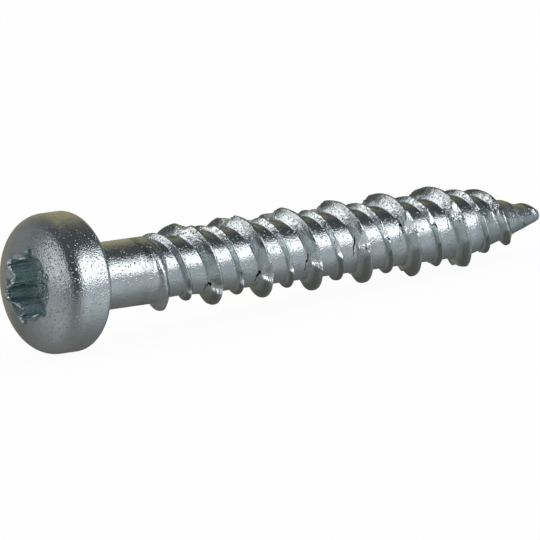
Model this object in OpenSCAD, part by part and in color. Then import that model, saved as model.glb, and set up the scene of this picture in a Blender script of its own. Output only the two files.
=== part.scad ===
// A concrete screw lying as it rests on a flat floor, on its head's rim and its thread's crest.
// Units are millimetres. Origin: the bearing face's centre, under the head, on the screw's axis.
// +X runs from the head to the point, along the screw, and the floor is below, towards -Z.
// Inside the modules the screw stands on its own axis: +Z to the point, the bearing face at z = 0.

/* [Shank] */
// Length from the bearing face to the blunt point
under_head_length = 50; // [40:0.5:60]
// Diameter of the plain shank under the head
shank_diameter = 5.85; // [5.2:0.05:6.4]
// Length of the plain shank, up to where the threads start
plain_length = 7.7; // [4:0.1:12]

/* [Head] */
// Diameter of the pan head
head_diameter = 12.1; // [10:0.05:14]
// Height of the head's dome over the bearing face, before the drive is pressed in
head_height = 5.4; // [4.6:0.05:6.2]
// Radius of the shallow dome on top
dome_radius = 9.8; // [8:0.1:14]
// Radius that turns the dome into the head's side
shoulder_radius = 1.95; // [0.8:0.05:2.2]
// Radius of the rim's edge beside the bearing face
rim_edge_radius = 0.64; // [0.1:0.02:0.9]

/* [Six-lobe drive] */
// Diameter across opposite lobes of the drive recess
drive_outer_diameter = 6.75; // [5.5:0.01:7.6]
// Diameter across opposite ribs of the drive recess
drive_inner_diameter = 4.85; // [4:0.01:5.4]
// Radius of a lobe's round end
drive_lobe_radius = 0.55; // [0.45:0.01:0.65]
// Depth of the drive's straight walls, from the top of the dome
drive_depth = 3.5; // [2.4:0.1:3.9]
// Depth of the cone at the drive's floor
drive_floor_cone = 0.6; // [0.2:0.05:0.9]
// Depth of the bevel on the ribs at the recess's mouth
drive_mouth_bevel = 0.85; // [0.1:0.05:1.2]
// Turn of the drive about the axis, against the thread
drive_turn = 11; // [0:1:59]

/* [Threads] */
// Diameter over the high thread's crest
high_thread_diameter = 7.5; // [6.8:0.05:8.4]
// Diameter over the low thread's crest, which runs half a lead behind the high one
low_thread_diameter = 6.4; // [5.9:0.05:6.8]
// Diameter of the core between the threads
core_diameter = 5.4; // [5:0.05:5.7]
// Diameter of the slightly slimmer core just past the plain shank
neck_diameter = 5.16; // [4.8:0.02:5.4]
// Length of that slimmer core, up to the middle of where it widens
neck_length = 4.75; // [2:0.25:8]
// Length over which it widens to the full core
neck_blend = 2.5; // [0.5:0.1:3.5]
// Advance of each thread in one turn
lead = 5.36; // [4.6:0.02:6.2]
// Length of the plain shank's end that the threads' start lies in
start_overlap = 0.2; // [0.05:0.05:0.5]
// Length over which the high thread grows to its full height at the shank
high_run_in = 1.5; // [0.6:0.1:3]
// Length over which the low thread does
low_run_in = 1.05; // [0.4:0.05:3]

/* [Notches in the crests] */
// Part of the high thread's height that a notch takes away
high_notch_share = 0.58; // [0.2:0.01:0.8]
// Part of the low thread's height that a notch takes away
low_notch_share = 0.45; // [0:0.01:0.8]
// Ring steps along the thread in which a notch falls away gently
notch_fall_steps = 3; // [1:0.5:5]
// Ring steps along the thread in which a notch climbs back steeply
notch_climb_steps = 1.5; // [0.5:0.25:4]

/* [Point] */
// Length of the tapered end, from the full core to the blunt point
taper_length = 8.6; // [6:0.1:12]
// Length of the steeper cone that ends it, on which the threads fade out
cone_length = 3.4; // [2:0.1:5]
// Core diameter where the steeper cone starts
cone_diameter = 3; // [2:0.05:4]
// Diameter of the blunt point's flat
point_diameter = 0.85; // [0.3:0.05:1.2]
// Length of the bevel round that flat
point_bevel = 0.35; // [0.1:0.05:0.8]
// Part of the high thread's height that is left along the taper
taper_height_share = 0.64; // [0.3:0.01:1]
// Length over which the high thread comes down to it
height_drop_length = 2.6; // [1:0.1:4]
// Length over which the high thread then fades out at the point
high_fade_length = 2.4; // [1:0.1:3.2]
// Length over which the low thread fades out along the taper
low_fade_length = 3.3; // [1.5:0.1:4.5]
// Length of the bare cone past the low thread's end
low_end_length = 2.8; // [1.6:0.1:3.4]

/* [Hidden] */
fine = 96;
head_arc_steps = 8;
edge_arc_step = 15;
sunk_steps = 2.5;
overlap = 0.01;

// The thread's surface is computed in flat rings, which turn with the thread by one step each.
// 37 steps to a turn and 12 to a notch make three rows of notches, which slant about the axis. Every
// third row lies one step further on, as the rows are not quite even round the screw.
steps_per_turn = 37;
steps_per_notch = 12;
rows_round = 3;
turn_step = 360 / steps_per_turn;
advance_step = lead / steps_per_turn;
low_step = steps_per_turn / 2;
row_step = steps_per_turn / rows_round;
row_drift = 1 + 1 / (rows_round * steps_per_notch);
row_phase = 5.65;
late_row_steps = 1;
row_reach = 0.3;
notch_hold_turns = 0.25;

// Where each corner of the two-thread section lies about the axis, counted in steps from the high crest.
crest_half = 0.5;
flank_mid = 2.5;
high_foot = 5.5;
low_foot = 2.5;
gap_count = 4;
gap_step = (low_step - low_foot - high_foot) / (gap_count + 1);
flank_mid_share = (high_foot - flank_mid) / (high_foot - crest_half);

head_r = head_diameter / 2;
shank_r = shank_diameter / 2;
core_r = core_diameter / 2;
neck_r = neck_diameter / 2;
high_height = high_thread_diameter / 2 - core_r;
low_height = low_thread_diameter / 2 - core_r;
full_thread_end = under_head_length - taper_length;
cone_start = under_head_length - cone_length;
thread_start = plain_length - start_overlap;
neck_end = plain_length + neck_length;
low_thread_end = under_head_length - low_end_length;
taper_ease = 0.12;
ring_z0 = plain_length - sunk_steps * advance_step;
ring_count = floor((under_head_length - ring_z0) / advance_step);

// The six-lobe outline: a lobe's round end runs smoothly into the rib between two lobes.
lobes = 6;
lobe_pitch = 360 / lobes;
half_pitch = lobe_pitch / 2;
lobe_centre = drive_outer_diameter / 2 - drive_lobe_radius;
rib_r = drive_inner_diameter / 2;
rib_curve = (pow(lobe_centre, 2) + pow(rib_r, 2) - 2 * lobe_centre * rib_r * cos(half_pitch)
    - pow(drive_lobe_radius, 2)) / (2 * (drive_lobe_radius - rib_r + lobe_centre * cos(half_pitch)));
rib_centre = rib_r + rib_curve;
arc_steps = 6;

// The screw rolls until the last notch of the full thread faces the floor, and lies on the head's rim
// and on a corner at each side of the notch. Each is one and a half steps from where the screw faces
// down, and has lost what the notch still takes one step past its bottom.
first_row = 4;
rest_corner_steps = 1.5;
first_notch = (first_row * row_step - row_phase) / row_drift;
full_rings = (full_thread_end - ring_z0) / advance_step;
rest_notch = first_notch + steps_per_notch * floor((full_rings - first_notch) / steps_per_notch);
rest_lean = 0.55;
rest_roll = -(rest_notch - rest_lean) * turn_step;
rest_height = high_height * (1 - high_notch_share * notch_at(1));
rest_reach = (core_r + rest_height) * cos(rest_corner_steps * turn_step);
rest_tilt = atan((head_r - rest_reach) / (ring_z0 + rest_notch * advance_step + rim_edge_radius));

// The core's radius at a height along the axis.
function core_at(z) = lookup(z, [
    [neck_end - neck_blend / 2, neck_r],
    [neck_end + neck_blend / 2, core_r],
    [full_thread_end, core_r],
    [full_thread_end + taper_ease * taper_length, core_r - taper_ease * (core_r - cone_diameter / 2)],
    [cone_start, cone_diameter / 2],
    [under_head_length - point_bevel, (point_diameter + point_bevel) / 2],
    [under_head_length, point_diameter / 2]
]);

// How much of the high thread's height is there: it grows at the shank and fades on the point.
function high_share_at(z) = lookup(z, [
    [thread_start, 0],
    [thread_start + high_run_in, 1],
    [full_thread_end, 1],
    [full_thread_end + height_drop_length, taper_height_share],
    [under_head_length - high_fade_length, taper_height_share],
    [under_head_length, 0]
]);

// The same for the low thread, which fades along the taper and ends on the cone.
function low_share_at(z) = lookup(z, [
    [thread_start, 0],
    [thread_start + low_run_in, 1],
    [low_thread_end - low_fade_length, 1],
    [low_thread_end, 0]
]);

// How much of a notch is there: the last ones fade out within a turn past the full thread.
function notch_share_at(z) = lookup(z, [
    [full_thread_end + notch_hold_turns * lead, 1],
    [full_thread_end + lead, 0]
]);

// How deep in a notch a spot is, from 0 outside it to 1 at its bottom; s is in steps past the bottom.
function notch_at(s) = s < 0 ? max(0, 1 + s / notch_fall_steps) : max(0, 1 - s / notch_climb_steps);

// Steps past the nearest row of notches, for ring i and a corner c steps from the high crest. The next
// row takes over soon after a notch's bottom, as notches have a long fall and a short climb.
function past_row(i, c) = let (
    turned = i * row_drift + c + row_phase,
    row = floor(turned / row_step + 1 - row_reach),
    late = row % rows_round == 0 ? late_row_steps : 0
) turned - row * row_step - late;

// Corners of the section: [steps from the high crest, which thread, share of its height].
corners = concat(
    [[crest_half, 1, 1], [flank_mid, 1, flank_mid_share], [high_foot, 1, 0]],
    [for (k = [1:gap_count]) [high_foot + k * gap_step, 0, 0]],
    [[low_step - low_foot, 2, 0], [low_step - crest_half, 2, 1]],
    [[low_step + crest_half, 2, 1], [low_step + low_foot, 2, 0]],
    [for (k = [gap_count:-1:1]) [-high_foot - k * gap_step, 0, 0]],
    [[-high_foot, 1, 0], [-flank_mid, 1, flank_mid_share], [-crest_half, 1, 1]]
);

// Height of a corner over the core, with the notch cut across the ridge.
function ridge(i, z, c) =
    let (notch = notch_share_at(z) * notch_at(past_row(i, c[0])))
        c[1] == 1 ? high_height * high_share_at(z) * min(c[2], 1 - high_notch_share * notch)
        : c[1] == 2 ? low_height * low_share_at(z) * min(c[2], 1 - low_notch_share * notch)
        : 0;

// The drive recess's outline, as a list of points round the axis: a lobe's arc, then a rib's, six times.
lobe_angle = acos((pow(lobe_centre, 2) + pow(drive_lobe_radius + rib_curve, 2) - pow(rib_centre, 2))
    / (2 * lobe_centre * (drive_lobe_radius + rib_curve)));
rib_angle = 180 - half_pitch - lobe_angle;
function lobe_point(k, t) =
    let (a = lobe_pitch * k + (180 - lobe_angle) * (2 * t - 1))
        [lobe_centre * cos(lobe_pitch * k) + drive_lobe_radius * cos(a),
         lobe_centre * sin(lobe_pitch * k) + drive_lobe_radius * sin(a)];
function rib_point(k, t) =
    let (middle = lobe_pitch * k + half_pitch, a = middle + 180 + rib_angle * (1 - 2 * t))
        [rib_centre * cos(middle) + rib_curve * cos(a),
         rib_centre * sin(middle) + rib_curve * sin(a)];
drive_outline = [
    for (k = [0:lobes - 1])
        for (s = [0:2 * arc_steps])
            s <= arc_steps ? lobe_point(k, s / arc_steps) : rib_point(k, (s - arc_steps) / (arc_steps + 1))
];

// The head's side view, from the axis round the dome, the shoulder and the rim to the bearing face.
module head_outline() {
    dome_z = head_height - dome_radius;
    shoulder_x = head_r - shoulder_radius;
    shoulder_z = dome_z + sqrt(pow(dome_radius - shoulder_radius, 2) - pow(shoulder_x, 2));
    turn_over = atan2(shoulder_x, shoulder_z - dome_z);
    polygon(concat(
        [[0, 0]],
        [for (a = [-90:edge_arc_step:0])
            [head_r - rim_edge_radius * (1 - cos(a)), rim_edge_radius * (1 + sin(a))]],
        [for (k = [0:head_arc_steps]) let (a = 90 - k * (90 - turn_over) / head_arc_steps)
            [shoulder_x + shoulder_radius * sin(a), shoulder_z + shoulder_radius * cos(a)]],
        [for (k = [1:head_arc_steps]) let (a = turn_over * (1 - k / head_arc_steps))
            [dome_radius * sin(a), dome_z + dome_radius * cos(a)]]
    ));
}

// The recess a six-lobe bit drives in, with straight walls and a cone for a floor. A wide cone bevels
// the ribs at the mouth, and runs on past the dome.
floor_tip_share = 0.16;
floor_edge_share = 0.98;
mouth_z = head_height - dome_radius + sqrt(pow(dome_radius, 2) - pow(rib_r, 2));
module drive_recess() {
    rotate([0, 0, drive_turn]) {
        translate([0, 0, head_height - drive_depth])
            linear_extrude(height = 2 * drive_depth)
                polygon(drive_outline);
        translate([0, 0, head_height - drive_depth - drive_floor_cone])
            cylinder(h = drive_floor_cone + overlap, r1 = floor_tip_share * rib_r,
                r2 = floor_edge_share * rib_r, $fn = fine);
        translate([0, 0, mouth_z - drive_mouth_bevel])
            cylinder(h = drive_depth, r1 = rib_r, r2 = rib_r + drive_depth, $fn = fine);
    }
}

// The head with its recess. It is drawn with the dome up, then turned over to face away from the point.
module head() {
    mirror([0, 0, 1])
        difference() {
            rotate_extrude($fn = fine)
                head_outline();
            drive_recess();
        }
}

// The plain shank, which starts inside the head and ends in a small step where the threads start.
sunk_length = (head_height - drive_depth - drive_floor_cone) / 2;
module shank() {
    translate([0, 0, -sunk_length])
        cylinder(h = plain_length + sunk_length, r = shank_r, $fn = fine);
}

// The threaded end and the point, as one closed surface of rings that turn with the thread.
module threaded_end() {
    n = len(corners);
    points = [
        for (i = [0:ring_count])
            let (z = i == ring_count ? under_head_length : ring_z0 + i * advance_step)
                for (c = corners)
                    let (r = core_at(z) + ridge(i, z, c), a = (i + c[0]) * turn_step)
                        [r * cos(a), r * sin(a), z]
    ];
    sides = [
        for (i = [0:ring_count - 1])
            for (j = [0:n - 1])
                let (a = i * n + j, b = i * n + (j + 1) % n)
                    for (half = [0:1])
                        half == 0 ? [a, a + n, b] : [b, a + n, b + n]
    ];
    near_cap = [for (j = [0:n - 1]) j];
    far_cap = [for (j = [n - 1:-1:0]) ring_count * n + j];
    polyhedron(points = points, faces = concat(sides, [near_cap, far_cap]), convexity = 10);
}

// The whole screw, one cold-formed piece, laid down on the floor.
module screw() {
    color([0.62, 0.65, 0.67])
        rotate([0, 90 + rest_tilt, 0])
            rotate([0, 0, rest_roll]) {
                union() {
                    head();
                    shank();
                    threaded_end();
                }
            }
}

screw();
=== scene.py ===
# %% [markdown]
# A concrete screw, lying on a pale table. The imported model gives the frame: the origin is the
# centre of the bearing face under the head, +X runs to the point and +Z is up. The solid there
# has the true form, in flat facets. This script lays finer surfaces over it, plates them with
# zinc, and sets up the table, the light and the camera. Everything is in metres.

# %% Load the frame
import math
import bpy
import numpy as np
from mathutils import Matrix, Vector


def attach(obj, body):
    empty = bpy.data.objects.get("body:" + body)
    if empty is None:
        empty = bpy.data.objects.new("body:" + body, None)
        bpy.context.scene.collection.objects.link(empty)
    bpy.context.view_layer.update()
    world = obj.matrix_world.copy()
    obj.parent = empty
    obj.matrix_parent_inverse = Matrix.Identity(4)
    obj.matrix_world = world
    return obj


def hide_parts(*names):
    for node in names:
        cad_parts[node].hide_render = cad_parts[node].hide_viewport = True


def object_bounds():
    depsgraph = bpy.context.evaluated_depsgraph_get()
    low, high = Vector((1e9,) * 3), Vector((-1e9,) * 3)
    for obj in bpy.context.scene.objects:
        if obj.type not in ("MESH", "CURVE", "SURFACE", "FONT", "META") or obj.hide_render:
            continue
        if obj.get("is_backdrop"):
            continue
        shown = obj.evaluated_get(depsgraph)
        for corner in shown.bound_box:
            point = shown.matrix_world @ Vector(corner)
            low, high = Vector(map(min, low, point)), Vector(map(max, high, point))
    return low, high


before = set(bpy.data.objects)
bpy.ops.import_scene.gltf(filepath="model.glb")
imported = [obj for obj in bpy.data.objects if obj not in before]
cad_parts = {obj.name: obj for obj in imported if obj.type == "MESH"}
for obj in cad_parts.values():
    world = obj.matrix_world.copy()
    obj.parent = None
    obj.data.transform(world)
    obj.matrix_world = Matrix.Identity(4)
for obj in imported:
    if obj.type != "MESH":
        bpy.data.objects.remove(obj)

low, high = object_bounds()
MM = 0.001


def in_mm(values):
    """The values in millimetres, rounded for printing."""
    return [round(v / MM, 2) for v in values]


print("the CAD box runs from", in_mm(low), "to", in_mm(high), "mm")

# %% [markdown]
# A screw is described by few sizes, so they come first and everything else follows from them.
# They are the same as in the solid, and a real maker's drawing gives just such a list. The head
# is a pan with a shallow dome, and the drive in it is a star of six round lobes.

# %% Sizes of the head
HEAD_R = 6.05 * MM
HEAD_HEIGHT = 5.4 * MM
DOME_R = 9.8 * MM
SHOULDER_R = 1.95 * MM
RIM_EDGE_R = 0.64 * MM
LOBE_OUT_R = 3.375 * MM
LOBE_IN_R = 2.425 * MM
LOBE_END_R = 0.55 * MM
DRIVE_TURN = math.radians(11)
DRIVE_DEPTH = 3.5 * MM
DRIVE_CONE = 0.6 * MM
print("the drive is", round(2 * LOBE_OUT_R / MM, 2), "mm across")

# %% [markdown]
# Below the head there is a plain shank, then a slim neck, then the core with two threads that run
# side by side, a high one and a low one, and last a taper, a cone and a blunt point. Distances
# along the screw are measured from the bearing face.

# %% Sizes of the shank and the threads
LENGTH = 50 * MM
SHANK_R = 2.925 * MM
PLAIN = 7.7 * MM
NECK_R = 2.58 * MM
CORE_R = 2.7 * MM
HIGH_R = 3.75 * MM
LOW_R = 3.2 * MM
LEAD = 5.36 * MM
TAPER = 8.6 * MM
TAPER_Z = LENGTH - TAPER
CONE = 3.4 * MM
CONE_R = 1.5 * MM
POINT_R = 0.425 * MM
TIP = 0.1 * MM
HIGH_NOTCH = 0.58
LOW_NOTCH = 0.45
print("the thread makes", round((LENGTH - PLAIN) / LEAD, 1), "turns")

# %% [markdown]
# The screw lies where it would come to rest: on the rim of its head and on the two shoulders of
# the last notch of the full thread. So its axis drops a little towards the point, and it is
# rolled until that notch faces down. The same two angles pose the solid. Working in the screw's
# own upright frame and turning the finished points is simpler than modelling anything at a slant.
# Angles round the screw are counted in steps, 37 in a turn, and three rows of notches run along
# the threads.

# %% Pose of the screw
STEPS_TURN = 37
STEPS_NOTCH = 12
ROW_STEP = STEPS_TURN / 3
ROW_PHASE = 5.65
ROW_DRIFT = 1 + 1 / (3 * STEPS_NOTCH)
ADVANCE = LEAD / STEPS_TURN
RING_Z0 = PLAIN - 2.5 * ADVANCE
REST_BACK = 0.55
SHOULDER_STEPS = 1.5
SHOULDER_DROP = HIGH_NOTCH / 3


def step_angle(steps):
    """The angle of a number of steps round the screw."""
    return steps * 2 * math.pi / STEPS_TURN


first_notch = (4 * ROW_STEP - ROW_PHASE) / ROW_DRIFT
full_rings = (TAPER_Z - RING_Z0) / ADVANCE
rest_notch = first_notch + STEPS_NOTCH * math.floor((full_rings - first_notch) / STEPS_NOTCH)
rest_roll = -step_angle(rest_notch - REST_BACK)
shoulder_r = CORE_R + (HIGH_R - CORE_R) * (1 - SHOULDER_DROP)
rest_reach = shoulder_r * math.cos(step_angle(SHOULDER_STEPS))
rest_tilt = math.atan((HEAD_R - rest_reach) / (RING_Z0 + rest_notch * ADVANCE + RIM_EDGE_R))
POSE = Matrix.Rotation(math.pi / 2 + rest_tilt, 3, "Y") @ Matrix.Rotation(rest_roll, 3, "Z")
print("the point drops", round(math.degrees(rest_tilt), 2), "degrees")

# %% [markdown]
# Both pieces are turned bodies: a stack of rings, each a closed loop of points round the axis.
# One helper makes a mesh of any such stack and closes each end with a small fan, so there are no
# holes. The helper takes whole arrays, which is quick even for a hundred thousand points.

# %% Mesh from a stack of rings
def ring_mesh(name, rings, fields):
    """rings[i, j] is point j of ring i. Quads join ring i to ring i + 1, and each end ring is
    closed by triangles to its own mean point. No point goes below the solid's lowest one, where
    the table is. fields maps an attribute's name to one value for each ring point."""
    count, around = rings.shape[:2]
    ends = np.stack([rings[0].mean(axis=0), rings[-1].mean(axis=0)])
    points = np.concatenate([rings.reshape(-1, 3), ends]) @ np.array(POSE).T
    points[:, 2] = np.maximum(points[:, 2], low.z)
    i, j = np.meshgrid(np.arange(count - 1), np.arange(around), indexing="ij")
    a, b = i * around + j, i * around + (j + 1) % around
    quads = np.stack([a, b, b + around, a + around], axis=-1).reshape(-1, 4)
    j = np.arange(around)
    k = (j + 1) % around
    last = (count - 1) * around
    near = np.stack([k, j, np.full(around, count * around)], axis=-1)
    far = np.stack([last + j, last + k, np.full(around, count * around + 1)], axis=-1)
    mesh = bpy.data.meshes.new(name)
    mesh.from_pydata(points.tolist(), [], quads.tolist() + near.tolist() + far.tolist())
    for field, values in fields.items():
        flat = np.append(np.ravel(values), [np.ravel(values)[0], np.ravel(values)[-1]])
        layer = mesh.attributes.new(field, "FLOAT", "POINT")
        layer.data.foreach_set("value", flat.astype(np.float32))
    mesh.polygons.foreach_set("use_smooth", np.ones(len(mesh.polygons), dtype=bool))
    mesh.update()
    piece = bpy.data.objects.new(name, mesh)
    bpy.context.scene.collection.objects.link(piece)
    print(name, "has", len(mesh.polygons), "faces")
    return piece

# %% [markdown]
# Real metal has hardly a sharp corner or a perfectly even line. Two small functions give both:
# one eases between two levels, and one adds a few sine waves up to an irregular waviness. The
# waves are drawn from a numbered seed, so they come out the same in each run.

# %% Fades and ripples
def smooth_step(x):
    """0 below 0, 1 above 1, and 3 x squared less 2 x cubed between, so both ends are level."""
    x = np.clip(x, 0, 1)
    return x * x * (3 - 2 * x)


def fade(x, start, width):
    """A smooth step from 0 at start to 1 at start plus width, which is less than 0 for a fall."""
    return smooth_step((x - start) / width)


def ripple(u, v, seed, waves=24, low_rate=0.6, high_rate=3):
    """A sum of sine waves of random direction, rate and phase, about 1 high."""
    draw = np.random.default_rng(seed)
    rate = draw.uniform(low_rate, high_rate, waves)
    turn = draw.uniform(0, 2 * math.pi, waves)
    start = draw.uniform(0, 2 * math.pi, waves)
    total = sum(np.sin(r * (u * math.cos(t) + v * math.sin(t)) + s)
                for r, t, s in zip(rate, turn, start))
    return total / math.sqrt(waves / 2)


print("a quarter of the way, a fade has risen to", round(float(fade(0.25, 0, 1)), 3))

# %% [markdown]
# The drive recess is a six-lobe star: six small round lobes joined by six wide ribs that curve
# the other way, each arc running smoothly into the next. Seen from the axis, each direction meets
# the outline once, so it is a single formula for radius against angle. The angles are then spaced
# evenly along the outline itself, because even angles would leave too few points on the steep
# lobe sides.

# %% Outline of the drive
SIXTH = math.pi / 3
HALF_SIXTH = math.pi / 6
lobe_at = LOBE_OUT_R - LOBE_END_R
rib_curve = (lobe_at**2 + LOBE_IN_R**2 - 2 * lobe_at * LOBE_IN_R * math.cos(HALF_SIXTH)
             - LOBE_END_R**2) / (2 * (LOBE_END_R - LOBE_IN_R + lobe_at * math.cos(HALF_SIXTH)))
rib_at = LOBE_IN_R + rib_curve
lobe_corner = math.acos((lobe_at**2 + (LOBE_END_R + rib_curve) ** 2 - rib_at**2)
                        / (2 * lobe_at * (LOBE_END_R + rib_curve)))
meet_x = lobe_at - LOBE_END_R * math.cos(lobe_corner)
meet_y = LOBE_END_R * math.sin(lobe_corner)
meet_angle = math.atan2(meet_y, meet_x)


def drive_radius(angle, grow=0.0):
    """Distance from the axis to the outline. In a lobe it is lobe_at cos(f) plus the root of the
    lobe's radius squared less (lobe_at sin f) squared. On a rib it is the same with the near
    root."""
    f = np.abs((angle + HALF_SIXTH) % SIXTH - HALF_SIXTH)
    g = HALF_SIXTH - f
    lobe_root = np.maximum((LOBE_END_R + grow) ** 2 - (lobe_at * np.sin(f)) ** 2, 0)
    rib_root = np.maximum((rib_curve - grow) ** 2 - (rib_at * np.sin(g)) ** 2, 0)
    lobe = lobe_at * np.cos(f) + np.sqrt(lobe_root)
    rib = rib_at * np.cos(g) - np.sqrt(rib_root)
    return np.where(f < meet_angle, lobe, rib)


def even_angles(count):
    """Angles whose points are evenly spaced along the drive's outline."""
    fine = np.linspace(0, 2 * math.pi, 20001)
    r = drive_radius(fine)
    x, y = r * np.cos(fine), r * np.sin(fine)
    along = np.concatenate([[0], np.cumsum(np.hypot(np.diff(x), np.diff(y)))])
    return np.interp(np.linspace(0, along[-1], count, endpoint=False), along, fine)


print("a rib curves with a radius of", round(rib_curve / MM, 3), "mm")

# %% [markdown]
# The head is forged in one blow: a flat bearing face, a round side, a rolled shoulder and a
# shallow dome. Its side view is a short chain of lines and arcs, each running smoothly into the
# next. A cylinder with a bevel would be quicker, but its edge would have one radius all over.

# %% Side view of the head
FACE_START = 0.4


def dome_height(r):
    """Height of the dome over the bearing face, from the sphere's equation."""
    return HEAD_HEIGHT - DOME_R + np.sqrt(DOME_R**2 - r**2)


def head_side():
    """(radius, height) of each ring: out along the bearing face, round its edge, up the side and
    over the shoulder, to where the shoulder's arc has the slope of the dome."""
    shoulder_x = HEAD_R - SHOULDER_R
    shoulder_z = HEAD_HEIGHT - DOME_R + math.sqrt((DOME_R - SHOULDER_R) ** 2 - shoulder_x**2)
    turn_over = math.atan2(shoulder_x, shoulder_z - HEAD_HEIGHT + DOME_R)
    face = [(r, 0.0) for r in np.linspace(FACE_START * SHANK_R, HEAD_R - RIM_EDGE_R, 8)[:-1]]
    edge = [(HEAD_R - RIM_EDGE_R * (1 - math.cos(a)), RIM_EDGE_R * (1 + math.sin(a)))
            for a in np.linspace(-math.pi / 2, 0, 14)]
    wall = [(HEAD_R, z) for z in np.linspace(RIM_EDGE_R, shoulder_z, 10)[1:-1]]
    over = [(shoulder_x + SHOULDER_R * math.sin(a), shoulder_z + SHOULDER_R * math.cos(a))
            for a in np.linspace(math.pi / 2, turn_over, 22)]
    return face + edge + wall + over


print("the dome starts", round(head_side()[-1][0] / MM, 2), "mm from the axis")

# %% [markdown]
# From the shoulder inwards the rings change from circles to the star, while their height still
# follows the dome, so the mouth of the drive lies exactly in the dome's surface. A bevel leads
# in. It is wide over the ribs, narrow over the lobes, and a little wider on one side, as the
# punch left it. A cutter and a boolean would do it too, but would leave ragged triangles round
# the mouth, where the light shows every one.

# %% The head
LIP = 0.06 * MM
BEVEL_WIDTH = 0.68 * MM
BEVEL_UNEVEN = 0.2
BEVEL_TURN = math.radians(20)
BEVEL_DIP = 0.06
BEVEL_ROUND = 0.05
WALL_DRAFT = 0.04 * MM
FLOOR_REACH = 0.985


def head_rings(around=300):
    """Rings from the bearing face over the dome, then down the drive to the middle of its floor.
    With them comes a field that is 0 on the dome, 1 below the bevel and 2 at the floor. The head
    stands with its dome up here, and z is turned over at the end."""
    angle = even_angles(around)
    wall = drive_radius(angle)
    side_share = np.cos(angle + DRIVE_TURN - BEVEL_TURN)
    bevel = BEVEL_WIDTH * (1 - BEVEL_UNEVEN + BEVEL_UNEVEN * side_share)
    mouth = wall + LIP + np.maximum(LOBE_IN_R + bevel - wall, 0) ** 1.5 / np.sqrt(bevel)
    rows = [(np.full(around, r), np.full(around, z), 0.0) for r, z in head_side()]
    outer = rows[-1][0]
    for share in np.linspace(0, 1, 16)[1:]:
        r = outer + (mouth - outer) * share
        rows.append((r, dome_height(r), 0.0 if share < 1 else 0.5))
    top = dome_height(mouth)
    for share in (0.06, 0.2, 0.4, 0.6, 0.8, 0.92, 1.0):
        swell = BEVEL_ROUND * math.sin(math.pi * share)
        r = mouth + (wall - mouth) * (share - swell)
        z = top - (mouth - wall) * (BEVEL_DIP + (1 - BEVEL_DIP) * share) + swell * MM
        rows.append((r, z, 0.5 + 0.5 * share))
    wall_top = rows[-1][1]
    floor = HEAD_HEIGHT - DRIVE_DEPTH
    for share in np.linspace(0, 1, 15)[1:]:
        z = wall_top + (floor - wall_top) * share
        rows.append((drive_radius(angle, -WALL_DRAFT * share), z, 1.0 + share))
    for share in np.linspace(0, 1, 12)[1:]:
        r = drive_radius(angle, -WALL_DRAFT) * (1 - FLOOR_REACH * share)
        rows.append((r, np.full(around, floor - DRIVE_CONE * share), 2.0))
    r, z = np.array([row[0] for row in rows]), np.array([row[1] for row in rows])
    deep = np.array([np.full(around, row[2]) for row in rows])
    turned = angle + DRIVE_TURN
    return np.stack([r * np.cos(turned), r * np.sin(turned), -z], axis=-1), deep


rings, deep = head_rings()
head = ring_mesh("screw_head", rings[::-1], {"recess": deep[::-1]})

# %% [markdown]
# The threads are rolled: two flat dies squeeze the shank, and metal flows up into the ridges.
# Along the screw, the core's radius and the height of each ridge are short tables of places and
# values, with straight lines between them. They are read off the photograph's outline, as in the
# solid.

# %% Profile along the screw
def core_radius(z):
    """Radius between the threads: plain shank, slim neck, core, then two cones to the point."""
    places = [0, PLAIN - 0.15 * MM, PLAIN + 0.5 * MM, PLAIN + 3.5 * MM, PLAIN + 6 * MM, TAPER_Z,
              TAPER_Z + 1 * MM, LENGTH - CONE, LENGTH - 0.35 * MM, LENGTH]
    radii = [SHANK_R, SHANK_R, NECK_R, NECK_R, CORE_R, CORE_R,
             CORE_R - 0.14 * MM, CONE_R, POINT_R + 0.17 * MM, POINT_R]
    return np.interp(z, places, radii)


def high_share(z):
    """How much of the high thread's height is there."""
    start = PLAIN - 0.9 * MM
    places = [start, start + 1.9 * MM, TAPER_Z, TAPER_Z + 2.6 * MM, LENGTH - 2.4 * MM, LENGTH]
    return np.interp(z, places, [0, 1, 1, 0.64, 0.64, 0])


def low_share(z):
    """How much of the low thread's height is there."""
    start = PLAIN - 0.2 * MM
    places = [start, start + 1.1 * MM, LENGTH - 6.1 * MM, LENGTH - 2.8 * MM]
    return np.interp(z, places, [0, 1, 1, 0])


def notch_share(z):
    """How much of a notch is there: none at the threads' start, and the last ones fade out."""
    places = [PLAIN + 0.8 * MM, PLAIN + 3.8 * MM, TAPER_Z + LEAD / 4, TAPER_Z + LEAD]
    return np.interp(z, places, [0, 1, 1, 0])


print("the core narrows from", CORE_R / MM, "to", POINT_R / MM, "mm")

# %% [markdown]
# Rows of small notches are pressed into both crests. They cut concrete dust loose as the screw is
# driven. Going towards the point, each notch falls away gently and climbs back steeply. One row
# runs on top, one in front and one underneath, and each slants round the axis by one step in a
# turn. On a real screw they are a little uneven: the top row, and the start of the front row,
# come late.

# %% Rows of notches
TOP, FRONT, UNDER = 0, 1, 2
ROW_REACH = 0.7
FRONT_LATE, LATE_PART = 1.7, (35 * MM, -16 * MM)
FALL, FALL_UNDER = 2.1, 1.7
FALL_MORE, MORE_PART = 0.7, (12 * MM, 8 * MM)
CLIMB_BACK, CLIMB_FRONT = 1.15, 0.85
REST_FALL, REST_CLIMB = 3.1, 1.5
REST_PART = 3 * MM
NOTCH_SOFT = 0.1


def past_row(turned, across, z):
    """Steps past the nearest row of notches, and which row that is. The steps run from about -8.6
    to 3.7, less how late the row comes."""
    steps = turned * ROW_DRIFT + across + ROW_PHASE
    row = np.floor(steps / ROW_STEP + ROW_REACH)
    late = np.where(row % 3 == FRONT, FRONT_LATE * fade(z, *LATE_PART), row % 3 == TOP)
    return steps - row * ROW_STEP - late, row % 3


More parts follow.
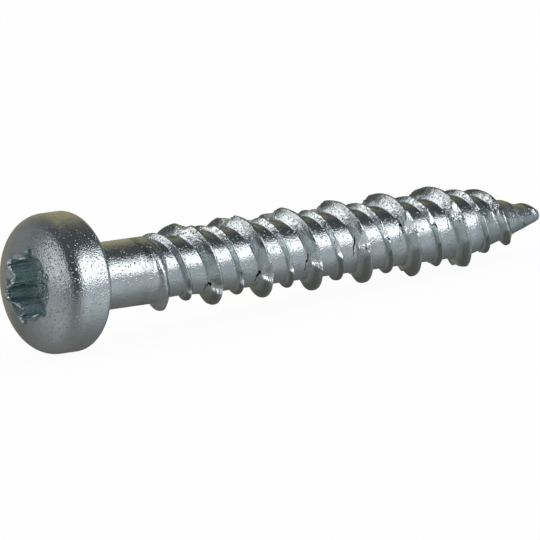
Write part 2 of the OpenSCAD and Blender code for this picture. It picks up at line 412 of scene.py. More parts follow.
def notch_depth(past, row, z):
    """0 outside a notch and 1 at its bottom: straight down for fall steps and straight up for climb
    steps, with small parabolas at the bottom and at both lips. The notch that the screw rests on is
    the longest."""
    rests = (row == UNDER) & (z > TAPER_Z - REST_PART)
    fall = np.where(row == UNDER, FALL_UNDER, FALL + FALL_MORE * fade(z, *MORE_PART))
    fall = np.where(rests, REST_FALL, fall)
    climb = np.where(rests, REST_CLIMB, np.where(row == FRONT, CLIMB_FRONT, CLIMB_BACK))
    v = np.clip(np.where(past < 0, 1 + past / fall, 1 - past / climb), 0, 1)
    bend = 0.5 / NOTCH_SOFT
    full = 1 - NOTCH_SOFT / 2
    bottom = np.where(v > 1 - NOTCH_SOFT, full - bend * (1 - v) ** 2, v - NOTCH_SOFT / 2)
    return np.where(v < NOTCH_SOFT, bend * v * v, bottom) / full


print("a crest has a notch every", round(STEPS_NOTCH * 360 / STEPS_TURN, 1), "degrees")

# %% [markdown]
# Pressing a notch folds the metal a little. In front, each notch has a jagged line at the foot of
# the flank, a small fold beyond it, and dents round it. The folds and dents are real height. The
# line is painted shade: it has no width of its own, the mesh only carries the distance from it, and
# the material paints shade on what is near.

# %% Painted shade lines and folds
SHADE_LINE_AT = 6.6
SHADE_LINE_CROSS = 6.4
SHADE_LINE_HALF = 2.4
SHADE_LINE_SLANT = 0.7
SHADE_LINE_JAG = 0.35
FOLD_AT, FOLD_WIDTH, FOLD_LENGTH = 4.2, 1.5, 3.2
FOLD_FROM = (-0.2, 0.6)
FOLD_HEIGHT = 0.15 * MM
DENT_REACH, DENT_SIDE = 1.5, 5.5
DENT_HEIGHT = 0.035 * MM
SHADE_LINE_END = 4


def shade_line_distance(from_crest, past, turned):
    """Steps along the thread from the jagged line of painted shade, which runs slanting and jagged
    from the flank down over its foot. Past both ends of the line, a large number is added."""
    slant = SHADE_LINE_SLANT * (from_crest - SHADE_LINE_CROSS)
    jag = SHADE_LINE_JAG * ripple(from_crest * 1.6, turned * 0.4, 23, low_rate=0.8, high_rate=2.4)
    outside = np.maximum(np.abs(from_crest - SHADE_LINE_AT) - SHADE_LINE_HALF, 0)
    return np.abs(past - slant - jag) + SHADE_LINE_END * outside


def notch_folds(from_crest, past, turned):
    """Height of the fold on the flank beyond the line of painted shade, and of the small dents
    round it. Each fades as e to the minus square of the distance, in steps."""
    beyond = fade(past, *FOLD_FROM) * np.exp(-((np.maximum(past, 0) / FOLD_LENGTH) ** 2))
    fold = FOLD_HEIGHT * np.exp(-(((from_crest - FOLD_AT) / FOLD_WIDTH) ** 2)) * beyond
    dents = DENT_HEIGHT * ripple(turned * 3.1, from_crest * 2.3, 17)
    dents = dents * np.exp(-((past / DENT_REACH) ** 2))
    return fold + dents * (np.abs(from_crest) < DENT_SIDE)


# The torn line printed here is the jagged line of painted shade.
print("a torn line is", round(2 * SHADE_LINE_HALF * ADVANCE / MM, 2), "mm long")

# %% [markdown]
# The flanks get painted light and shade, set by the angle round the screw as it lies. Those that
# face the front carry a light film, greener than the plating and lighter as painted light. Those
# underneath and behind get painted shade, a nearly black tint, and the same tint also darkens the
# flank near the high crest on the upper front. The rest gets a near-white tint, a painted sheen.
# The mesh knows these places best, so they are worked out here, from the angle round the screw, and
# it hands them to the material as attributes.

# %% Places of the painted light and shade
FRONT_AT = -96
LIGHT_END, LIGHT_AGAIN = (8, 22), (140, -40)
DARK_UNDER, DARK_OVER = (-14, -22), (62, 20)
CREST_DARK_FROM, CREST_DARK_TO, CREST_DARK_UP = (4, 10), (84, -14), (0.4, 0.35)
CREST_DARKENING = 0.7


def above_front(angle):
    """Degrees round the axis from the front of the screw as it lies, upwards, from -180 to 180."""
    return (FRONT_AT - np.degrees(angle + rest_roll) + 180) % 360 - 180


def light_and_shade_places(above, high_ridge):
    """Where the lighter film and the painted shade lie, as masks from 0 to 1, by the degrees above
    the front.
    """
    light = 1 - fade(above, *LIGHT_END) * fade(above, *LIGHT_AGAIN)
    dark = np.maximum(fade(above, *DARK_UNDER), fade(above, *DARK_OVER))
    # The flank near the high crest on the upper front is darkened with the same dark tint.
    crest_dark = fade(above, *CREST_DARK_FROM) * fade(above, *CREST_DARK_TO) * fade(high_ridge, *CREST_DARK_UP)
    return light, np.maximum(dark, CREST_DARKENING * crest_dark)


print("straight above, the films are", [round(float(v), 2) for v in light_and_shade_places(90.0, 1.0)])

# %% [markdown]
# In a cut square across the axis, both ridges are bumps on a circle, and that cut simply turns as
# it moves along. So the surface is a stack of rings that turn with the thread, and each column of
# points runs along a ridge. Edges then follow the crests, which an upright grid would saw into
# steps. The columns are close on the ridges and wide between them.

# %% Grid and turn of the threads
RING_GAP = 0.0412 * MM
HIGH_SIDE = 6.2
LOW_FROM, LOW_TO = 15, 22
FRONT_AHEAD = 0.28 * MM
HEAD_EARLY, HEAD_PART = 0.26 * MM, (13 * MM, -4 * MM)
POINT_EARLY, POINT_PART = 0.18 * MM, (42 * MM, 3 * MM)
TURN_FROM = -8


def shank_grid():
    """Each ring's distance along the screw and each column's steps from the high crest."""
    plain = np.linspace(-0.5 * MM, RING_Z0 - 0.7 * MM, 22)
    threaded = np.arange(RING_Z0 - 0.65 * MM, LENGTH - TIP, RING_GAP)
    tip = LENGTH - TIP * np.cos(np.linspace(0, math.pi / 2, 5))
    across = [np.linspace(-HIGH_SIDE, HIGH_SIDE, 45), np.linspace(HIGH_SIDE, LOW_FROM, 12)[1:-1],
              np.linspace(LOW_FROM, LOW_TO, 27),
              np.linspace(LOW_TO, STEPS_TURN - HIGH_SIDE, 12)[1:-1]]
    along = np.concatenate([plain, threaded, tip])
    return np.meshgrid(along, np.concatenate(across), indexing="ij")


def turned_at(z, across):
    """Steps that the threads have turned at z. Near the front they run a little ahead, by the
    square of the cosine of the angle from the front. That angle depends on the result, so a few
    rounds settle it."""
    early = HEAD_EARLY * fade(z, *HEAD_PART) + POINT_EARLY * fade(z, *POINT_PART)
    even = (z - RING_Z0 + early) / ADVANCE
    turned = np.maximum(even, TURN_FROM)
    for _ in range(4):
        above = np.radians(above_front(step_angle(turned + across)))
        ahead = FRONT_AHEAD * np.maximum(np.cos(above), 0) ** 2
        turned = np.maximum(even + ahead / ADVANCE, TURN_FROM)
    return turned


print("the grid has", shank_grid()[0].shape, "rings and columns")

# %% [markdown]
# A ridge has straight flanks, a rounded crest and a filled corner at its foot. The notches cut
# its top off and push the flanks out a little. In front they are deeper: the high thread's on the
# side that faces the head, and the low thread's on both sides. A bump map could fake all this,
# but not at the outline, where a thread is seen best.

# %% Ridges
HIGH_TOP, HIGH_FOOT = 0.35, 5.6
LOW_TOP, LOW_FOOT = 0.3, 2.7
WANDER = 0.12
BULGE, BULGE_TOP, BULGE_FOOT = 0.05, 3.5, 6.1
SIDE_DEEPER, SIDE_SPAN = 0.4, 2.5
LOW_DEEPER = 0.5


def ridge_shape(away, half_top, half_foot, soft_top=0.16, soft_foot=0.2):
    """1 on the crest and 0 past the foot, with straight flanks between. Each end of the flank is a
    short parabola, which rounds the crest and fills the corner at the foot."""
    t = np.clip((half_foot - np.abs(away)) / (half_foot - half_top), 0, 1)
    foot = t**2 / (2 * soft_foot)
    top = 1 - (1 - t) ** 2 / (2 * soft_top)
    slope = 1 / (1 - (soft_top + soft_foot) / 2)
    middle = slope * (t - soft_foot / 2)
    crest = np.where(t > 1 - soft_top, 1 - (1 - top) * slope, middle)
    return np.where(t < soft_foot, foot * slope, crest)


def notched_ridges(turned, from_high, from_low, notch, row):
    """Both ridges as shares of their full height, less the notches, plus the high flanks' bulge."""
    wander = WANDER * ripple(turned * 0.35, 0 * turned, 5)
    high_ridge = ridge_shape(from_high + wander, HIGH_TOP, HIGH_FOOT)
    low_ridge = ridge_shape(from_low - wander, LOW_TOP, LOW_FOOT)
    bulge = BULGE * notch * ridge_shape(from_high, BULGE_TOP, BULGE_FOOT)
    deeper = 1 + SIDE_DEEPER * (row == FRONT) * np.clip(from_high / SIDE_SPAN, -0.5, 1)
    high_ridge = np.minimum(high_ridge, 1 - HIGH_NOTCH * deeper * notch) + bulge
    low_ridge = np.minimum(low_ridge, 1 - LOW_NOTCH * (1 + LOW_DEEPER * (row == FRONT)) * notch)
    return high_ridge, low_ridge


print("three steps from its crest, the high ridge is still",
      round(float(ridge_shape(3, HIGH_TOP, HIGH_FOOT)), 2), "of its height")

# %% [markdown]
# Now the shank is put together: the radius is the core plus the ridges, plus a slight raggedness
# and waviness, plus the folds. The last few rings close the blunt point. With the points go the
# fields that the material reads: crest, notch, the films with their painted light and shade, and
# the distance from the jagged line of painted shade.

# %% The threaded shank
HIGH_SPAN = 6
LOW_CREST, ON_CREST = 0.6, 0.2
FLANK_PART = (PLAIN + 1.2 * MM, 2 * MM)
RAGGED = 0.015
WAVES, WAVES_PART = 0.006 * MM, (PLAIN, 2 * MM)
NO_SHADE_LINE = 30


def core_with_tip(z):
    """The core's radius, which ends in a quarter of an ellipse, and where that hasn't begun yet."""
    end = np.clip((z - LENGTH + TIP) / TIP, 0, 1)
    closing = (POINT_R + 0.05 * MM) * np.sqrt(np.maximum(1 - end**2, 0)) + 0.02 * MM
    return np.where(end > 0, closing, core_radius(z)), end == 0


def shank_fields(z, angle, from_high, from_low, notch, high_ridge, low_ridge):
    """What the material reads at each point, except for the jagged lines of painted shade."""
    low_crest = LOW_CREST * low_ridge * low_share(z)
    crest = np.clip(np.maximum(high_ridge * np.sqrt(high_share(z)), low_crest), 0, 1)
    on_high = np.abs(from_high) < HIGH_SPAN
    to_head = np.where(on_high, np.sign(from_high) * high_ridge, np.sign(from_low) * low_ridge)
    flank = np.clip(to_head * fade(z, *FLANK_PART), 0, 1)
    # light is the lighter film, partly painted light; dark is painted shade; the rest of each flank
    # gets a painted near-white sheen with small dark specks.
    light, dark = light_and_shade_places(above_front(angle), high_ridge * on_high)
    return {"crest": crest, "notch": notch * (crest > ON_CREST), "film": flank * light,
            "painted_shade": flank * dark, "bare": flank * (1 - light) * (1 - dark)}


def shank_rings():
    """The rings of the shank, from inside the head to the point, and their fields."""
    z, across = shank_grid()
    turned = turned_at(z, across)
    angle = step_angle(turned + across)
    past, row = past_row(turned, across, z)
    notch = notch_depth(past, row, z) * notch_share(z)
    from_high = (across + HIGH_SIDE) % STEPS_TURN - HIGH_SIDE
    from_low = across - STEPS_TURN / 2
    high_ridge, low_ridge = notched_ridges(turned, from_high, from_low, notch, row)
    ragged = 1 + RAGGED * ripple(turned * 1.1, across * 0.4, 11)
    ridge = (high_ridge * high_share(z) * (HIGH_R - CORE_R) * ragged
             + low_ridge * low_share(z) * (LOW_R - CORE_R) * ragged)
    core, before_tip = core_with_tip(z)
    waves = WAVES * ripple(angle * 4, z / MM * 1.5, 3) * fade(z, *WAVES_PART)
    folds = notch_folds(from_high, past, turned) * notch_share(z) * (row != UNDER)
    # Distance from the jagged line in front of each notch, where the material paints shade; far
    # away on the other rows and where the notches are faint.
    shade_line = shade_line_distance(from_high, past, turned)
    shade_line = shade_line + NO_SHADE_LINE * ((row != FRONT) | (notch_share(z) < 0.5))
    radius = core + ridge + (waves + folds) * before_tip
    fields = shank_fields(z, angle, from_high, from_low, notch, high_ridge, low_ridge)
    points = np.stack([radius * np.cos(angle), radius * np.sin(angle), z], axis=-1)
    return points, {**fields, "shade_line": shade_line}


shank = ring_mesh("screw_shank", *shank_rings())

# %% [markdown]
# A material is a tree of nodes, and building one by hand takes many lines. These helpers keep it
# short: each adds one node and returns the socket that comes out of it. Anything that varies over
# the surface is a socket, and anything fixed is a plain number or colour.

# %% Node helpers
def add(tree, kind, values=None, links=None, **settings):
    """Adds a node, sets its properties and input values, and links sockets into its inputs."""
    node = tree.nodes.new(kind)
    for key, value in settings.items():
        setattr(node, key, value)
    for key, value in (values or {}).items():
        node.inputs[key].default_value = value
    for key, socket in (links or {}).items():
        tree.links.new(socket, node.inputs[key])
    return node


def maths(tree, operation, *items):
    """A Math node on up to three items, each a socket or a fixed number."""
    fixed = {i: item for i, item in enumerate(items) if isinstance(item, (int, float))}
    linked = {i: item for i, item in enumerate(items) if i not in fixed}
    return add(tree, "ShaderNodeMath", fixed, linked, operation=operation).outputs[0]


def times(tree, one, other):
    """Product of two sockets, or of a socket and a number."""
    return maths(tree, "MULTIPLY", one, other)


def rise(tree, socket, start, end):
    """A smooth step from 0 at start to 1 at end."""
    node = add(tree, "ShaderNodeMapRange", {"From Min": start, "From Max": end}, {"Value": socket})
    node.interpolation_type = "SMOOTHSTEP"
    return node.outputs[0]


def blend_colour(tree, factor, base, over):
    """Colour base where factor is 0 and over where it is 1. Either may be a socket or fixed."""
    mix = add(tree, "ShaderNodeMix", data_type="RGBA")
    tree.links.new(factor, mix.inputs["Factor"])
    for index, colour in ((6, base), (7, over)):
        if isinstance(colour, tuple):
            mix.inputs[index].default_value = colour
        else:
            tree.links.new(colour, mix.inputs[index])
    return mix.outputs[2]


def object_noise(tree, place, size, detail, roughness):
    """Noise at a place on the object. size is how many waves there are in a metre."""
    return add(tree, "ShaderNodeTexNoise", {"Detail": detail, "Roughness": roughness},
               {"Vector": place, "Scale": size}).outputs[0]


helpers = (add, maths, times, rise, blend_colour, object_noise)
print("node helpers:", [helper.__name__ for helper in helpers])

# %% [markdown]
# Zinc plating is a mirror-like metal film with a fine grain. Three effects are shared, each as a
# group with its own inputs: the grain and the marks that the punch drew along the drive's walls,
# both heights for a Bump node, and the clouding, a mask for tint and roughness. Groups keep the
# head and the shank alike, and still let each set its own sizes.

# %% Shared effects
def new_group(name, inputs, outputs):
    """A shader node group with named float inputs and outputs, and its two end nodes."""
    group = bpy.data.node_groups.new(name, "ShaderNodeTree")
    for label, start in inputs:
        socket = group.interface.new_socket(label, in_out="INPUT", socket_type="NodeSocketFloat")
        socket.default_value = start
    for label in outputs:
        group.interface.new_socket(label, in_out="OUTPUT", socket_type="NodeSocketFloat")
    return group, group.nodes.new("NodeGroupInput"), group.nodes.new("NodeGroupOutput")


def grain_group():
    """Height of the plating's grain: fine noise, plus small round crystals scattered over it."""
    inputs = [("Size", 7000.0), ("Crystals", 1.3)]
    group, start, end = new_group("plating grain", inputs, ["Height"])
    place = add(group, "ShaderNodeTexCoord").outputs["Object"]
    fine = object_noise(group, place, start.outputs["Size"], 2.0, 0.6)
    cell_size = times(group, start.outputs["Size"], 0.6)
    cell = add(group, "ShaderNodeTexVoronoi", None, {"Vector": place, "Scale": cell_size})
    dot = rise(group, cell.outputs["Distance"], 0.4, 0.05)
    tall = add(group, "ShaderNodeSeparateColor", None, {0: cell.outputs["Color"]})
    crystal = times(group, times(group, dot, tall.outputs[0]), start.outputs["Crystals"])
    group.links.new(maths(group, "ADD", fine, crystal), end.inputs["Height"])
    return group


def streak_group():
    """Height of the marks that the punch drew: noise stretched along the screw."""
    group, start, end = new_group("drawn streaks", [("Size", 2600.0)], ["Height"])
    place = add(group, "ShaderNodeTexCoord").outputs["Object"]
    drawn = add(group, "ShaderNodeMapping", {"Scale": (0.07, 1, 1)}, {"Vector": place})
    noise = object_noise(group, drawn.outputs[0], start.outputs["Size"], 2.0, 0.6)
    group.links.new(noise, end.inputs["Height"])
    return group


def clouding_group():
    """A soft mask of patches, from 0 to 1, for tint and roughness."""
    inputs = [("Size", 450.0), ("Contrast", 3.0)]
    group, start, end = new_group("plating clouding", inputs, ["Mask"])
    place = add(group, "ShaderNodeTexCoord").outputs["Object"]
    noise = object_noise(group, place, start.outputs["Size"], 5.0, 0.65)
    centred = maths(group, "SUBTRACT", noise, 0.5)
    stretched = maths(group, "MULTIPLY_ADD", centred, start.outputs["Contrast"], 0.5)
    stretched.node.use_clamp = True
    group.links.new(stretched, end.inputs["Mask"])
    return group


GRAIN = grain_group()
STREAKS = streak_group()
CLOUDING = clouding_group()
print("shared effects:", GRAIN.name, "+", STREAKS.name, "+", CLOUDING.name)

# %% [markdown]
# Metal has no colour of its own apart from the tint of its reflections, so the material is fully
# metallic and its films are tints. The plating is a bluish grey. The light film is a little
# greener, and lighter as painted light. The dark film is painted shade, nearly black, and the
# flanks between get a near-white painted sheen with small dark specks. The notches are rubbed
# bright and the crests dull. The inside of the drive is greener, lighter as painted light, and
# drawn in streaks.

# %% Zinc
STEEL_TINT = (0.56, 0.6, 0.62, 1)
CLOUD_TINT = (0.49, 0.525, 0.535, 1)
# Greener, and lighter as painted light.
LIT_FILM_TINT = (0.62, 0.73, 0.72, 1)
# Painted shade, also used for the small dark specks.
SHADE_AND_SPECK_TINT = (0.19, 0.215, 0.2, 1)
# Greener, and lighter as painted light.
LIT_DRIVE_TINT = (0.71, 0.83, 0.84, 1)
# A painted near-white sheen.
SHEEN_TINT = (0.95, 0.98, 1.0, 1)
NOTCH_TINT = (0.97, 0.99, 1.0, 1)
CREST_TINT = (0.45, 0.49, 0.49, 1)
# Painted shade along the jagged lines.
SHADE_LINE_TINT = (0.02, 0.02, 0.02, 1)
PLATING_ROUGH, CLOUD_ROUGHER, SHADE_LINE_ROUGHER = 0.12, 0.06, 0.5
BUMP_HEIGHT = 0.032 * MM
SHADE_LINE_EDGE, SHADE_LINE_CORE = 0.38, 0.2


def effect(tree, group, **values):
    """Places a shared effect with its own values, and returns what it puts out."""
    return add(tree, "ShaderNodeGroup", values, node_tree=group).outputs[0]


def attribute_mask(tree, name, none, full, strength=1.0):
    """The mesh attribute, stretched so that none gives 0 and full gives 1, times a strength."""
    value = add(tree, "ShaderNodeAttribute", attribute_name=name, attribute_type="GEOMETRY")
    spread = add(tree, "ShaderNodeMapRange", {"From Min": none, "From Max": full},
                 {"Value": value.outputs["Fac"]})
    return times(tree, spread.outputs[0], strength)


def zinc(name, films, rough_films=(), streaks=None, specks=None, shade_line_attribute=None):
    """Plated steel. Each film is an attribute, its values for none and for full, a strength, and a
    tint. rough_films, streaks and specks are the same without the tint, and their strengths are
    roughness, height and darkness. The last argument names the attribute with the distance from the
    jagged line, along which shade is painted."""
    material = bpy.data.materials.new(name)
    material.use_nodes = True
    tree = material.node_tree
    shader = tree.nodes["Principled BSDF"]
    shader.inputs["Metallic"].default_value = 1.0
    clouds = effect(tree, CLOUDING, Size=450.0, Contrast=3.0)
    colour = blend_colour(tree, clouds, STEEL_TINT, CLOUD_TINT)
    rough = maths(tree, "MULTIPLY_ADD", clouds, CLOUD_ROUGHER, PLATING_ROUGH)
    height = effect(tree, GRAIN, Size=7000.0, Crystals=1.3)
    for *film, tint in films:
        colour = blend_colour(tree, attribute_mask(tree, *film), colour, tint)
    for film in rough_films:
        rough = maths(tree, "ADD", attribute_mask(tree, *film), rough)
    if streaks:
        drawn = effect(tree, STREAKS, Size=2600.0)
        height = maths(tree, "MULTIPLY_ADD", drawn, attribute_mask(tree, *streaks), height)
    if specks:
        dots = effect(tree, CLOUDING, Size=3500.0, Contrast=7.0)
        mask = times(tree, attribute_mask(tree, *specks), dots)
        colour = blend_colour(tree, mask, colour, SHADE_AND_SPECK_TINT)
    # Painted shade: nearly black along the jagged line at the foot of the flanks, and rougher.
    if shade_line_attribute:
        far = add(tree, "ShaderNodeAttribute", attribute_name=shade_line_attribute, attribute_type="GEOMETRY")
        line = rise(tree, far.outputs["Fac"], SHADE_LINE_EDGE, SHADE_LINE_CORE)
        colour = blend_colour(tree, line, colour, SHADE_LINE_TINT)
        rough = maths(tree, "MULTIPLY_ADD", line, SHADE_LINE_ROUGHER, rough)
    bump = add(tree, "ShaderNodeBump", {"Strength": 1.0, "Distance": BUMP_HEIGHT},
               {"Height": height})
    tree.links.new(colour, shader.inputs["Base Color"])
    tree.links.new(rough, shader.inputs["Roughness"])
    tree.links.new(bump.outputs["Normal"], shader.inputs["Normal"])
    return material


# Inside the drive the tint is greener, and lighter as painted light.
head.data.materials.append(zinc(
    "zinc_head", [("recess", 0.4, 1.2, 0.9, LIT_DRIVE_TINT)],
    rough_films=[("recess", 0.8, 1.2, 0.04)], streaks=("recess", 0.9, 1.1, 14.0)))
# On the shank, the light film is greener and lighter as painted light, the dark film is painted
# shade, the near-white flank tint is a painted sheen, and the jagged line's tint is painted shade.
shank.data.materials.append(zinc(
    "zinc_thread", [("film", 0.1, 0.6, 0.75, LIT_FILM_TINT),
                    ("painted_shade", 0.1, 0.5, 0.85, SHADE_AND_SPECK_TINT),
                    ("bare", 0.1, 0.5, 0.8, SHEEN_TINT),
                    ("crest", 0.85, 1.0, 0.6, CREST_TINT),
                    ("notch", 0.2, 0.8, 0.9, NOTCH_TINT)],
    rough_films=[("film", 0.1, 0.6, 0.05)], specks=("bare", 0.1, 0.5, 0.85), shade_line_attribute="shade_line"))
print("materials:", [m.name for m in bpy.data.materials if m.name.startswith("zinc")])

# %% [markdown]
# The screw is one solid in the model, and two finer pieces stand for it here: the head, and the
# shank with its threads. They overlap inside the head, as one piece of metal, and both ride on
# the root.

# %% Put the pieces in the frame
for piece in (head, shank):
    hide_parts("screw")
    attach(piece, "root")
print("pieces:", head.name, "and", shank.name)

# %% [markdown]
# A pale table carries the screw. It is a wide disc at the height of the lowest point, so nothing
# floats and the horizon is far away. The camera sees it nearly white, with a faint shadow.
# Polished metal mirrors all of its surroundings, so for reflections the table gives way to the
# room below, except for one soft spot that glows beside the shank and lights the undersides of
# the threads.

# %% Table
TABLE_R = 3.0
TABLE_SIDES = 64
TABLE_COLOUR = (0.8, 0.8, 0.8, 1)
TABLE_WHITE = 0.95
SPOT_COLOUR = (0.56, 0.6, 0.62, 1)
SPOT_RIGHT, SPOT_FRONT, SPOT_BACK = (2 * MM, 12 * MM), (-5 * MM, -9 * MM), (-60 * MM, -30 * MM)


def table_top(height):
    """A wide disc round the origin, at the height of the screw's lowest point."""
    angle = np.linspace(0, 2 * math.pi, TABLE_SIDES, endpoint=False)
    x, y = TABLE_R * np.cos(angle), TABLE_R * np.sin(angle)
    points = np.stack([x, y, np.full(TABLE_SIDES, height)], axis=-1)
    mesh = bpy.data.meshes.new("table")
    mesh.from_pydata(points.tolist(), [], [list(range(TABLE_SIDES))])
    table = bpy.data.objects.new("table", mesh)
    bpy.context.scene.collection.objects.link(table)
    return table


def spot_mask(tree):
    """1 on the part of the table that glows in reflections, in front of the threads, with soft
    edges."""
    place = add(tree, "ShaderNodeTexCoord")
    parts = add(tree, "ShaderNodeSeparateXYZ", None, {0: place.outputs["Object"]})
    right = rise(tree, parts.outputs["X"], *SPOT_RIGHT)
    front = rise(tree, parts.outputs["Y"], *SPOT_FRONT)
    back = rise(tree, parts.outputs["Y"], *SPOT_BACK)
    return times(tree, times(tree, right, front), back)


def pale(name, colour, white):
    """A matt pale surface. For the camera, a share of it glows white. Reflections pass through it
    everywhere but in the spot."""
    material = bpy.data.materials.new(name)
    material.use_nodes = True
    tree = material.node_tree
    shader = tree.nodes["Principled BSDF"]
    shader.inputs["Base Color"].default_value = colour
    shader.inputs["Roughness"].default_value = 0.9
    shader.inputs["Specular IOR Level"].default_value = 0.0
    path = add(tree, "ShaderNodeLightPath")
    glow = add(tree, "ShaderNodeEmission", {"Color": (1, 1, 1, 1), "Strength": 1.0})
    spot = add(tree, "ShaderNodeEmission", {"Color": SPOT_COLOUR, "Strength": 1.0})
    clear = add(tree, "ShaderNodeBsdfTransparent")
    seen = times(tree, path.outputs["Is Camera Ray"], white)
    lit = add(tree, "ShaderNodeMixShader", None,
              {0: seen, 1: shader.outputs[0], 2: glow.outputs[0]})
    mirrored = add(tree, "ShaderNodeMixShader", None,
                   {0: spot_mask(tree), 1: clear.outputs[0], 2: spot.outputs[0]})
    mix = add(tree, "ShaderNodeMixShader", None,
              {0: path.outputs["Is Glossy Ray"], 1: lit.outputs[0], 2: mirrored.outputs[0]})
    tree.links.new(mix.outputs[0], tree.nodes["Material Output"].inputs["Surface"])
    return material


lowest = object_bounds()[0].z
table = table_top(lowest)
table.data.materials.append(pale("pale_table", TABLE_COLOUR, TABLE_WHITE))
table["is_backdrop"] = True
print("the table is", round(-lowest / MM, 2), "mm below the origin")

# %% [markdown]
# Bright metal looks like what is around it. The photograph's screw mirrors a studio: one large
# soft lamp in front on the right, a narrower one on the left, a dark gap between them where the
# camera stands, and dim walls that are warmer behind. Three colour ramps run round the horizon,
# for the ceiling, the walls and the ground. Each stop is an azimuth in degrees, 0 in front and 90
# at the screw's point, and a colour.

# %% Colours of the studio
CEILING = [
    (-180, (0.19, 0.19, 0.18)), (-156, (0.2, 0.2, 0.2)), (-140, (0.14, 0.145, 0.15)),
    (-126, (0.095, 0.1, 0.11)), (-66, (0.09, 0.1, 0.12)), (100, (0.08, 0.085, 0.09)),
    (118, (0.19, 0.19, 0.16)), (140, (0.44, 0.4, 0.22)), (160, (0.32, 0.29, 0.19)),
    (180, (0.19, 0.19, 0.18))]
WALLS = [
    (-180, (0.26, 0.26, 0.25)), (-150, (0.26, 0.27, 0.27)), (-130, (0.2, 0.21, 0.22)),
    (-112, (0.36, 0.37, 0.38)), (-95, (0.5, 0.52, 0.53)), (-86, (0.1, 0.11, 0.12)),
    (-66, (0.065, 0.07, 0.08)), (-34, (0.075, 0.08, 0.09)), (-20, (0.2, 0.21, 0.22)),
    (0, (0.3, 0.31, 0.32)), (40, (0.34, 0.36, 0.38)), (66, (0.16, 0.18, 0.2)),
    (100, (0.14, 0.15, 0.15)), (135, (0.44, 0.41, 0.26)), (160, (0.34, 0.31, 0.21)),
    (180, (0.26, 0.26, 0.25))]
GROUND = [
    (-180, (0.19, 0.19, 0.175)), (-150, (0.26, 0.26, 0.25)), (-130, (0.36, 0.37, 0.37)),
    (-110, (0.52, 0.54, 0.54)), (-94, (0.46, 0.48, 0.48)), (-76, (0.26, 0.27, 0.27)),
    (-40, (0.27, 0.28, 0.28)), (-14, (0.62, 0.65, 0.66)), (20, (0.74, 0.78, 0.8)),
    (45, (0.7, 0.76, 0.8)), (66, (0.42, 0.46, 0.5)), (100, (0.2, 0.22, 0.22)),
    (140, (0.15, 0.15, 0.13)), (160, (0.17, 0.17, 0.15)), (180, (0.19, 0.19, 0.175))]
STRAIGHT_DOWN = (0.25, 0.26, 0.25, 1)
TO_CEILING, TO_GROUND, TO_DOWN = (30, 44), (-8, -16), (-22, -80)
print("the ramps have", len(CEILING), "+", len(WALLS), "+", len(GROUND), "stops")

# %% [markdown]
# The world is that studio, as a colour for each direction: the ramps by azimuth, blended by
# elevation, with the two lamps laid over them as soft-edged patches. Only reflections see it. The
# camera and matt surfaces see plain white. Lamps as objects would do as well, but a world lights
# every view alike.

# %% Studio
SIDE_LAMP = dict(colour=(1.6, 1.63, 1.66), sides=(-87, -72), ends=(3, 34), soft=5, lean=-1.0)
FRONT_LAMP = dict(colour=(2.6, 2.62, 2.65), sides=(-13, 50), ends=(0, 34), soft=4)


def ramp_of(tree, factor, stops):
    """A colour ramp round the horizon, from stops of (azimuth in degrees, colour)."""
    ramp = add(tree, "ShaderNodeValToRGB", None, {"Fac": factor})
    elements = ramp.color_ramp.elements
    while len(elements) < len(stops):
        elements.new(0.5)
    for element, (azimuth, colour) in zip(elements, stops):
        element.position = (azimuth + 180) / 360
        element.color = (*colour, 1)
    return ramp.outputs["Color"]


def patch(tree, azimuth, height, under, colour, sides, ends, soft, lean=0.0):
    """Lays a soft-edged rectangle of colour over the colour under it. sides and ends are its
    azimuths and elevations in degrees, soft is half the width of its edges, and lean moves its
    sides for each degree up."""
    azimuth = maths(tree, "MULTIPLY_ADD", height, -lean, azimuth)
    mask = times(tree, rise(tree, azimuth, sides[0] - soft, sides[0] + soft),
                 rise(tree, azimuth, sides[1] + soft, sides[1] - soft))
    mask = times(tree, mask, rise(tree, height, ends[0] - soft, ends[0] + soft))
    mask = times(tree, mask, rise(tree, height, ends[1] + soft, ends[1] - soft))
    return blend_colour(tree, mask, under, (*colour, 1))


def studio_world():
    """The world's colour by azimuth and elevation, both in degrees, from the direction."""
    world = bpy.data.worlds.new("studio")
    bpy.context.scene.world = world
    world.use_nodes = True
    tree = world.node_tree
    place = add(tree, "ShaderNodeTexCoord").outputs["Generated"]
    way = add(tree, "ShaderNodeVectorMath", None, {0: place}, operation="NORMALIZE")
    parts = add(tree, "ShaderNodeSeparateXYZ", None, {0: way.outputs[0]})
    front = times(tree, parts.outputs["Y"], -1.0)
    azimuth = times(tree, maths(tree, "ARCTAN2", parts.outputs["X"], front), 180 / math.pi)
    height = times(tree, maths(tree, "ARCSINE", parts.outputs["Z"]), 180 / math.pi)
    around = add(tree, "ShaderNodeMapRange", {"From Min": -180.0, "From Max": 180.0},
                 {"Value": azimuth}).outputs[0]
    walls, ground, ceiling = (ramp_of(tree, around, stops) for stops in (WALLS, GROUND, CEILING))
    colour = blend_colour(tree, rise(tree, height, *TO_CEILING), walls, ceiling)
    colour = blend_colour(tree, rise(tree, height, *TO_GROUND), colour, ground)
    colour = blend_colour(tree, rise(tree, height, *TO_DOWN), colour, STRAIGHT_DOWN)
    for lamp in (SIDE_LAMP, FRONT_LAMP):
        colour = patch(tree, azimuth, height, colour, **lamp)
    mirrored = add(tree, "ShaderNodeBackground", {"Strength": 1.0}, {"Color": colour})
    white = add(tree, "ShaderNodeBackground", {"Color": (1, 1, 1, 1), "Strength": 1.0})
    path = add(tree, "ShaderNodeLightPath")
    mix = add(tree, "ShaderNodeMixShader", None,
              {0: path.outputs["Is Glossy Ray"], 1: white.outputs[0], 2: mirrored.outputs[0]})
    tree.links.new(mix.outputs[0], tree.nodes["World Output"].inputs["Surface"])
    return world


studio = studio_world()
print("the studio is made of", len(studio.node_tree.nodes), "nodes")

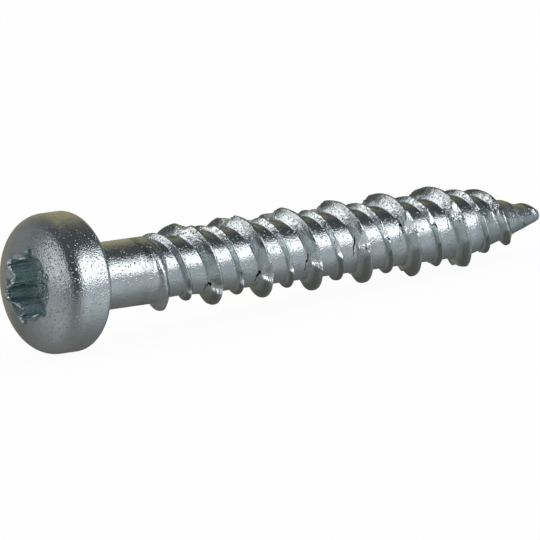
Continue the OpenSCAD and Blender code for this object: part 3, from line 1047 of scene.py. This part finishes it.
# %% [markdown]
# A world is infinitely far, so parallel surfaces see the same part of it wherever they are. In
# the photograph they don't: the flanks of the threads are lit where the head, turned the same
# way, is dark. So one more soft lamp hangs near the screw, above and behind its head. It is seen
# in reflections alone, and it is linked to the shank, which keeps the head's top dark.

# %% Near lamp
NEAR_PLACE = (-90 * MM, 0, 155 * MM)
NEAR_TARGET = (28 * MM, 0, 0)
NEAR_SIZE = (150 * MM, 165 * MM)
NEAR_GLOW = 1.5


def hanging_lamp(place, target, size, glow):
    """A soft lamp that points at the target. A square metre of it sends out pi times its glow, in
    watts."""
    data = bpy.data.lights.new("near_lamp", "AREA")
    data.shape = "RECTANGLE"
    data.size, data.size_y = size
    data.energy = math.pi * glow * size[0] * size[1]
    lamp = bpy.data.objects.new("near_lamp", data)
    lamp.visible_camera = lamp.visible_diffuse = False
    lamp.light_linking.receiver_collection = bpy.data.collections.new("seen_in")
    lamp.light_linking.receiver_collection.objects.link(shank)
    way = Vector(target) - Vector(place)
    turn = way.to_track_quat("-Z", "Y").to_matrix().to_4x4()
    lamp.matrix_world = Matrix.Translation(place) @ turn
    bpy.context.scene.collection.objects.link(lamp)
    return lamp


near_lamp = hanging_lamp(NEAR_PLACE, NEAR_TARGET, NEAR_SIZE, NEAR_GLOW)
print("the near lamp sends out", round(near_lamp.data.energy, 3), "watts")

# %% [markdown]
# The photograph was taken with a long lens from far off: things at the point look hardly smaller
# than at the head. The camera stands on the head's side, looks across the screw, low over the
# table, and is rolled so that the screw climbs to the right. All of it follows from three angles,
# one scale and the place of the bearing face in the picture.

# %% Camera
TO_HEAD = math.radians(53.9)
ABOUT_AXIS = math.radians(6.1)
CLIMB = math.radians(8.1)
DISTANCE = 1.5
PICTURE = 540
PIXEL = 1 / 11.73 * MM
BEARING_A, FRAME_X, FRAME_Y = 9.7, 62.8, 281.8


def place_camera():
    """Sets the camera from the angle between the screw's axis and the view, the angle of the view
    about that axis, and the climb of the axis in the picture."""
    axis = (POSE @ Vector((0, 0, 1))).normalized()
    level = Vector((0, -1, 0))
    up = level.cross(axis).normalized()
    near = (level * math.cos(ABOUT_AXIS) + up * math.sin(ABOUT_AXIS)).normalized()
    back = (-axis * math.cos(TO_HEAD) + near * math.sin(TO_HEAD)).normalized()
    along = (axis - back * axis.dot(back)).normalized()
    across = back.cross(along)
    right = along * math.cos(CLIMB) - across * math.sin(CLIMB)
    upward = along * math.sin(CLIMB) + across * math.cos(CLIMB)
    bearing_x = FRAME_X + BEARING_A * math.cos(CLIMB)
    bearing_y = FRAME_Y - BEARING_A * math.sin(CLIMB)
    middle = PICTURE / 2
    centre = right * (middle - bearing_x) * PIXEL - upward * (middle - bearing_y) * PIXEL
    data = bpy.data.cameras.new("camera")
    data.lens = data.sensor_width * DISTANCE / (PICTURE * PIXEL)
    data.clip_start, data.clip_end = 0.1, 20
    camera = bpy.data.objects.new("camera", data)
    turn = Matrix((right, upward, back)).transposed().to_4x4()
    camera.matrix_world = Matrix.Translation(centre + back * DISTANCE) @ turn
    bpy.context.scene.collection.objects.link(camera)
    bpy.context.scene.camera = camera
    return camera


camera = place_camera()
bpy.context.scene.view_settings.view_transform = "Standard"
print("the lens is", round(camera.data.lens), "mm")

# %% [markdown]
# Last, the box round the finished screw is measured. It has to agree with the solid's box from
# the start, because the surfaces here only refine the solid and don't change its size.

# %% Sizes at the end
low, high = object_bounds()
print("the screw measures", in_mm(high - low), "mm")
